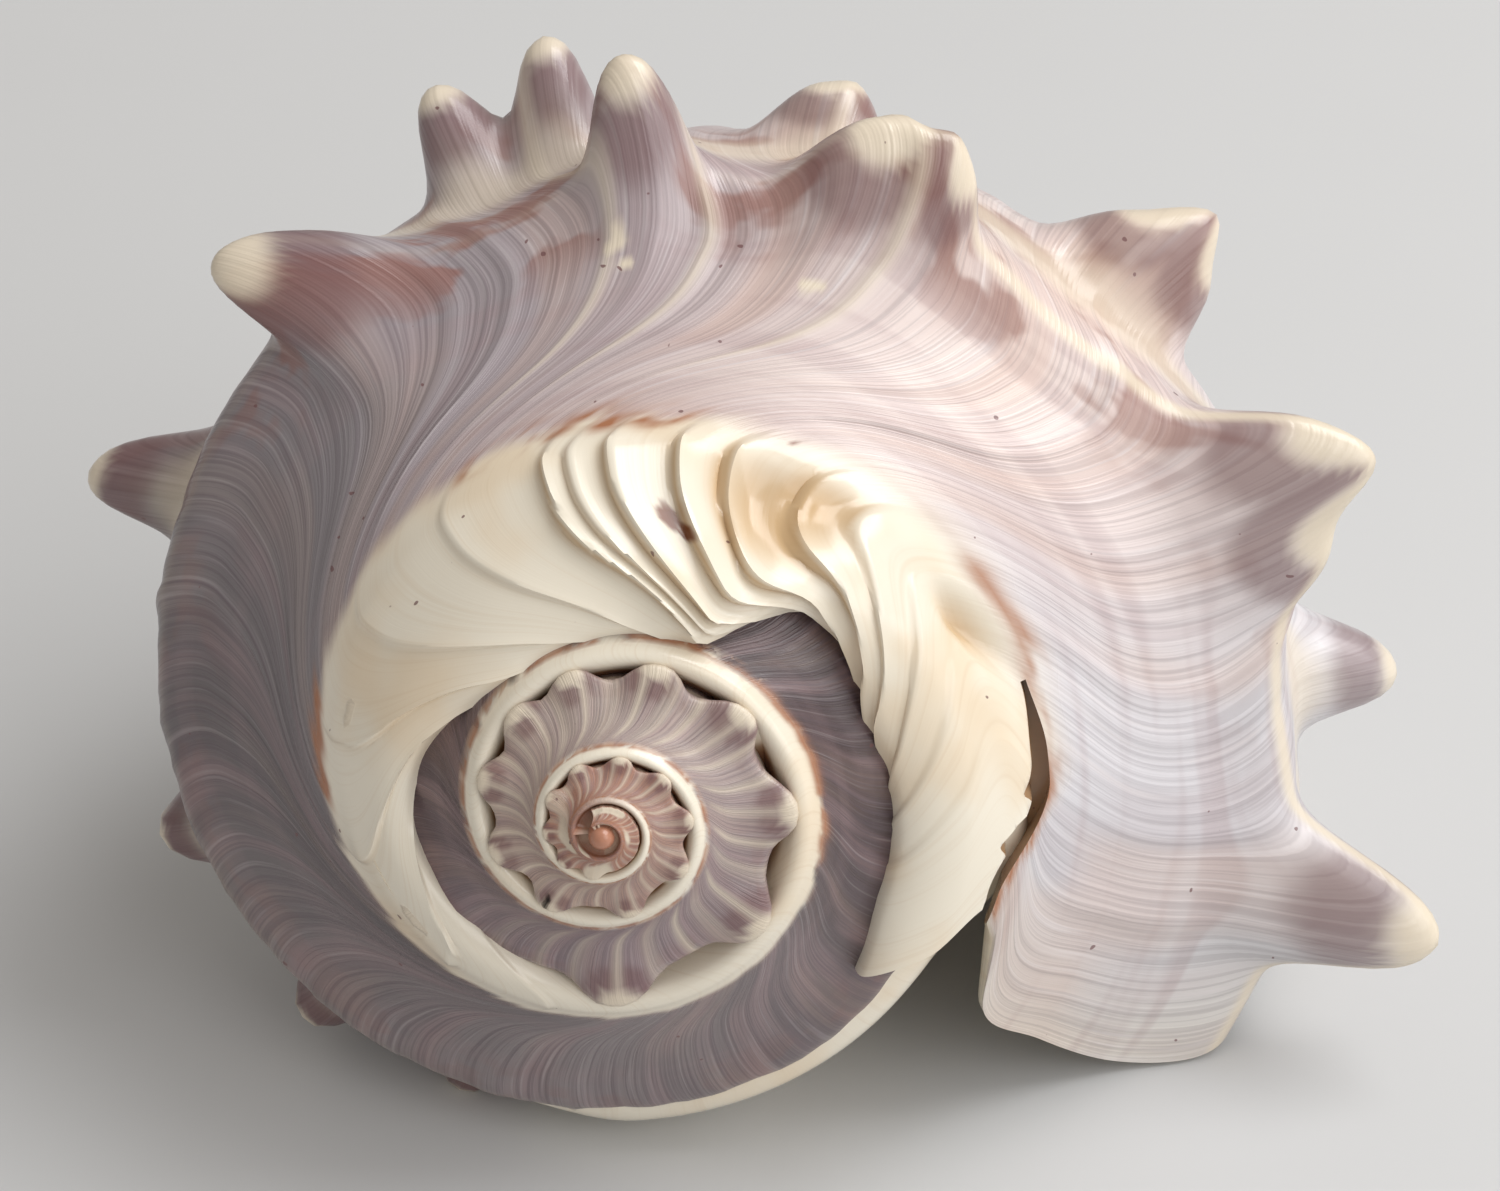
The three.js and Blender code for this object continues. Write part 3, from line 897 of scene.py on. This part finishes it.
def aragonite(colours):
    """Aragonite of a seashell, grown in layers: a glossy cream callus, and over the rest a thin violet layer.

    The eye sees fine growth lines swept back to the suture, colour that changes along the growth from slate
    violet to peach and pale lilac, dark spines with cream tips, and a shine like glaze.
    """
    material = bpy.data.materials.new("Aragonite shell")
    material.use_nodes = True
    tree = material.node_tree
    tree.nodes.clear()
    node = partial(add_node, tree)

    # What each place of the surface carries: its growth and station, and the share of each mark and of
    # painted shade
    carried = {}
    for name, shares in zip(MAP_NAMES, MAP_SHARES):
        pair = node("ShaderNodeSeparateXYZ", None, {0: node("ShaderNodeUVMap", {"uv_map": name})[0]})
        carried.update(zip(shares, pair))

    # Noise drawn out along the growth lines, sized at the keel of the last whorl
    noise = {}
    for name, spacing, length, detail in GROWTH_PATTERNS:
        along = {0: carried["growth"], 1: 2 * math.pi * KEEL_RADIUS / spacing}
        over = {0: carried["station"], 1: SECTION_LENGTH / length}
        place = {
            0: node("ShaderNodeMath", {"operation": "MULTIPLY"}, along)[0],
            1: node("ShaderNodeMath", {"operation": "MULTIPLY"}, over)[0],
        }
        vector = node("ShaderNodeCombineXYZ", None, place)[0]
        inputs = {"Vector": vector, "Scale": 1.0, "Detail": detail}
        noise[name] = node("ShaderNodeTexNoise", {"noise_dimensions": "2D"}, inputs)[0]
    lump = {"Vector": node("ShaderNodeTexCoord")["Object"], "Scale": 1 / (9 * MM), "Detail": 2.0}
    noise["clouds"] = node("ShaderNodeTexNoise", None, lump)[0]
    noise["specks"] = node("ShaderNodeTexNoise", None, {**lump, "Scale": 1 / (0.8 * MM), "Detail": 0.0})[0]

    # The thin outer layer: a colour for each age, under coats of lines, blotches and spine colours
    oldest, youngest = AGE_COLOURS[0][0], AGE_COLOURS[-1][0]
    age = node("ShaderNodeMapRange", None, {0: carried["growth"], 1: oldest, 2: youngest})[0]
    outer = node("ShaderNodeValToRGB", None, {0: age})[0]
    stops = outer.node.color_ramp.elements
    while len(stops) < len(AGE_COLOURS):
        stops.new(1.0)
    for stop, (turn, code) in zip(stops, AGE_COLOURS):
        stop.position = (turn - oldest) / (youngest - oldest)
        stop.color = (*linear(code), 1)
    callus = node("ShaderNodeMix", {"data_type": "RGBA"}, {0: 0.0, 6: (*colours.cream, 1)})[2]

    # Lines and bands are half as strong on the fresh part of the shell
    aged = node("ShaderNodeMapRange", None, {0: carried["fresh"], 1: 0.3, 2: 1.0, 3: 1.0, 4: 0.5})[0]

    # Coats: what is painted, by which pattern, from and to which value, how strongly, where, and its colour
    coats = [
        ("outer", noise["bands"], 0.45, 0.70, 0.35, aged, colours.band),
        ("outer", noise["spiral"], 0.48, 0.68, 0.32, carried["fresh"], colours.band),
        ("outer", noise["warm"], 0.48, 0.70, 0.28, carried["fresh"], colours.warm),
        ("outer", noise["lines"], 0.48, 0.64, 0.24, aged, colours.line),
        ("outer", noise["fine"], 0.48, 0.62, 0.36, aged, colours.line),
        ("outer", noise["pale"], 0.55, 0.78, 0.35, carried["fresh"], colours.pale),
        ("outer", noise["blotches"], 0.48, 0.62, 0.70, carried["rust"], colours.rust),
        ("outer", carried["flank"], 0.0, 1.0, 0.60, None, colours.tip),
        ("outer", carried["side"], 0.0, 1.0, 0.60, None, colours.spine),
        ("outer", carried["tip"], 0.0, 1.0, 0.90, None, colours.tip),
        ("outer", carried["keel"], 0.0, 1.0, 0.80, None, colours.tip),
        ("callus", noise["clouds"], 0.45, 0.70, 0.60, None, colours.peach),
        ("callus", noise["lines"], 0.50, 0.80, 0.12, None, colours.tan),
        # Painted shade in the callus's folds and hollows, inside the mouth, in the slit and in the channel at
        # the suture
        ("callus", carried["fold"], 0.0, 1.0, 0.75, None, colours.tan),
        ("both", noise["blotches"], 0.32, 0.52, 1.00, carried["border"], colours.rim),
        # Stains, and painted shade in the channel at the suture and in the slit
        ("both", carried["stain"], 0.0, 1.0, 1.00, None, colours.stain),
        ("both", noise["specks"], 0.86, 0.88, 0.80, None, colours.spine),
    ]
    painted = {"outer": outer, "callus": callus}
    for layer, pattern, low, high, strength, where, colour in coats:
        if layer not in painted:
            shares = {0: carried["cream"], 6: painted["outer"], 7: painted["callus"]}
            painted[layer] = node("ShaderNodeMix", {"data_type": "RGBA"}, shares)[2]
        limits = {0: pattern, 1: low, 2: high, 3: 0.0, 4: strength}
        share = node("ShaderNodeMapRange", {"interpolation_type": "SMOOTHSTEP"}, limits)[0]
        if where:
            share = node("ShaderNodeMath", {"operation": "MULTIPLY"}, {0: share, 1: where})[0]
        coat = {0: share, 6: painted[layer], 7: (*colour, 1)}
        painted[layer] = node("ShaderNodeMix", {"data_type": "RGBA"}, coat)[2]

    # The growth lines can be felt, the callus is smooth
    relief = node("ShaderNodeMath", {"operation": "ADD"}, {0: noise["fine"], 1: noise["lines"]})[0]
    felt = node("ShaderNodeMapRange", None, {0: carried["cream"], 1: 0.0, 2: 1.0, 3: 0.45, 4: 0.05})[0]
    sheen = node("ShaderNodeMapRange", None, {0: carried["cream"], 1: 0.0, 2: 1.0, 3: 0.28, 4: 0.20})[0]
    bump = {"Strength": felt, "Distance": 0.10 * MM, "Height": relief}
    shader = {
        "Base Color": painted["both"],
        "Roughness": sheen,
        "IOR": 1.6,
        "Normal": node("ShaderNodeBump", None, bump)[0],
    }
    surface = node("ShaderNodeBsdfPrincipled", None, shader)[0]
    node("ShaderNodeOutputMaterial", None, {"Surface": surface})
    return material


class CONCH_OT_shell(bpy.types.Operator):
    """Grow the shell: spire, body whorl, glaze, columella and slit, joined as one piece"""

    bl_idname = "conch.shell"
    bl_label = "Shell"

    def execute(self, context):
        sizes = context.scene.conch_sizes
        values = {
            "Keel radius": sizes.keel_radius,
            "Whorl growth": sizes.whorl_growth,
            "Lying turn": LYING_TURN.to_matrix().to_euler("XYZ"),
            "Apex place": Vector(APEX_PLACE) * MM,
            "Material": aragonite(context.scene.conch_colours),
        }
        old_wall, new_wall = body_wall(sizes)
        slit = suture_slit()
        rest = spire_whorls(sizes) + [parietal_glaze(sizes), columella()]
        coil([old_wall, new_wall, slit, *rest], coil_tree(), values)
        steps = [("UNION", old_wall), ("DIFFERENCE", slit)]
        steps += [("UNION", piece) for piece in rest]
        steps.append(("DIFFERENCE", under_table()))
        grow_together(new_wall, steps)
        new_wall.name = "conch_shell"
        new_wall.data.name = "conch_shell"
        drop_crumbs(new_wall.data)
        new_wall.data.shade_smooth()
        new_wall.data.set_sharp_from_angle(angle=math.radians(50))
        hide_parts("shell")
        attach(new_wall, "root")
        return {"FINISHED"}


def pale_table(colour):
    """Matt pale paint of a table top, with a faint unevenness in its sheen."""
    material = bpy.data.materials.new("Matt pale paint")
    material.use_nodes = True
    tree = material.node_tree
    shader = tree.nodes["Principled BSDF"]
    shader.inputs["Base Color"].default_value = (*colour, 1)
    place = add_node(tree, "ShaderNodeTexCoord")["Object"]
    grain = add_node(tree, "ShaderNodeTexNoise", None, {"Vector": place, "Scale": 1 / (20 * MM)})[0]
    rough = add_node(tree, "ShaderNodeMapRange", None, {0: grain, 3: 0.55, 4: 0.7})[0]
    tree.links.new(rough, shader.inputs["Roughness"])
    return material


def soft_light(name, place, size, power):
    """A rectangular lamp turned to the shell."""
    light = bpy.data.lights.new(name, "AREA")
    light.shape = "RECTANGLE"
    light.size, light.size_y = size
    light.energy = power
    lamp = bpy.data.objects.new(name, light)
    lamp.location = place
    lamp.rotation_euler = (Vector(LIT_POINT) - lamp.location).to_track_quat("-Z", "Y").to_euler()
    bpy.context.scene.collection.objects.link(lamp)


class CONCH_OT_stage(bpy.types.Operator):
    """Set the table, the light and the camera"""

    bl_idname = "conch.stage"
    bl_label = "Stage"

    def execute(self, context):
        stage = context.scene.conch_stage
        scene = context.scene
        mesh = bpy.data.meshes.new("table")
        work = bmesh.new()
        bmesh.ops.create_grid(work, x_segments=1, y_segments=1, size=TABLE_HALF_WIDTH)
        work.to_mesh(mesh)
        work.free()
        mesh.materials.append(pale_table(stage.table))
        table = bpy.data.objects.new("table", mesh)
        scene.collection.objects.link(table)

        world = bpy.data.worlds.new("room")
        world.use_nodes = True
        background = world.node_tree.nodes["Background"]
        background.inputs["Color"].default_value = ROOM_TINT
        background.inputs["Strength"].default_value = stage.room_strength
        scene.world = world

        soft_light("window", WINDOW_PLACE, WINDOW_SIZE, stage.window_power)
        soft_light("bright wall", BRIGHT_WALL_PLACE, BRIGHT_WALL_SIZE, stage.wall_power)

        camera = bpy.data.cameras.new("camera")
        camera.sensor_width = SENSOR_WIDTH
        camera.lens = SENSOR_WIDTH * FOCAL_PIXELS / PHOTO_SIZE[0]
        camera.clip_start = 0.01
        eye = bpy.data.objects.new("camera", camera)
        apex_seen = Vector(
            (
                (APEX_PIXEL[0] - PHOTO_SIZE[0] / 2) * MM_PER_PIXEL,
                (PHOTO_SIZE[1] / 2 - APEX_PIXEL[1]) * MM_PER_PIXEL,
                -FOCAL_PIXELS * MM_PER_PIXEL,
            )
        )
        seen = (
            Matrix.Translation(apex_seen * MM)
            @ Matrix.Rotation(VIEW_TILT[1], 4, "Y")
            @ Matrix.Rotation(VIEW_TILT[0], 4, "X")
        )
        lying = Matrix.Translation(Vector(APEX_PLACE) * MM) @ LYING_TURN.to_matrix().to_4x4()
        eye.matrix_world = lying @ seen.inverted()
        scene.collection.objects.link(eye)
        scene.camera = eye
        scene.view_settings.view_transform = "Standard"
        return {"FINISHED"}


class CONCH_PT_panel(bpy.types.Panel):
    """Shows the conch's sizes, colours and stage, and its buttons"""

    bl_idname = "CONCH_PT_panel"
    bl_label = "Crown conch"
    bl_space_type = "VIEW_3D"
    bl_region_type = "UI"
    bl_category = "Conch"

    def draw(self, context):
        """Shows the sizes, the colours, the stage and a button for each operator."""
        for group in (context.scene.conch_sizes, context.scene.conch_colours, context.scene.conch_stage):
            for name in group.__annotations__:
                self.layout.prop(group, name)
        for operator in (CONCH_OT_shell, CONCH_OT_stage):
            self.layout.operator(operator.bl_idname)


CLASSES = (ConchSizes, ConchColours, ConchStage, CONCH_OT_shell, CONCH_OT_stage, CONCH_PT_panel)


def register():
    """Registers the classes and their settings on the scene."""
    for cls in CLASSES:
        bpy.utils.register_class(cls)
    bpy.types.Scene.conch_sizes = bpy.props.PointerProperty(type=ConchSizes)
    bpy.types.Scene.conch_colours = bpy.props.PointerProperty(type=ConchColours)
    bpy.types.Scene.conch_stage = bpy.props.PointerProperty(type=ConchStage)


def unregister():
    """Takes the settings and the classes away again."""
    del bpy.types.Scene.conch_sizes
    del bpy.types.Scene.conch_colours
    del bpy.types.Scene.conch_stage
    for cls in reversed(CLASSES):
        bpy.utils.unregister_class(cls)


def main():
    """Makes the shell and the stage."""
    register()
    bpy.ops.conch.shell()
    bpy.ops.conch.stage()


if __name__ == "__main__":
    main()
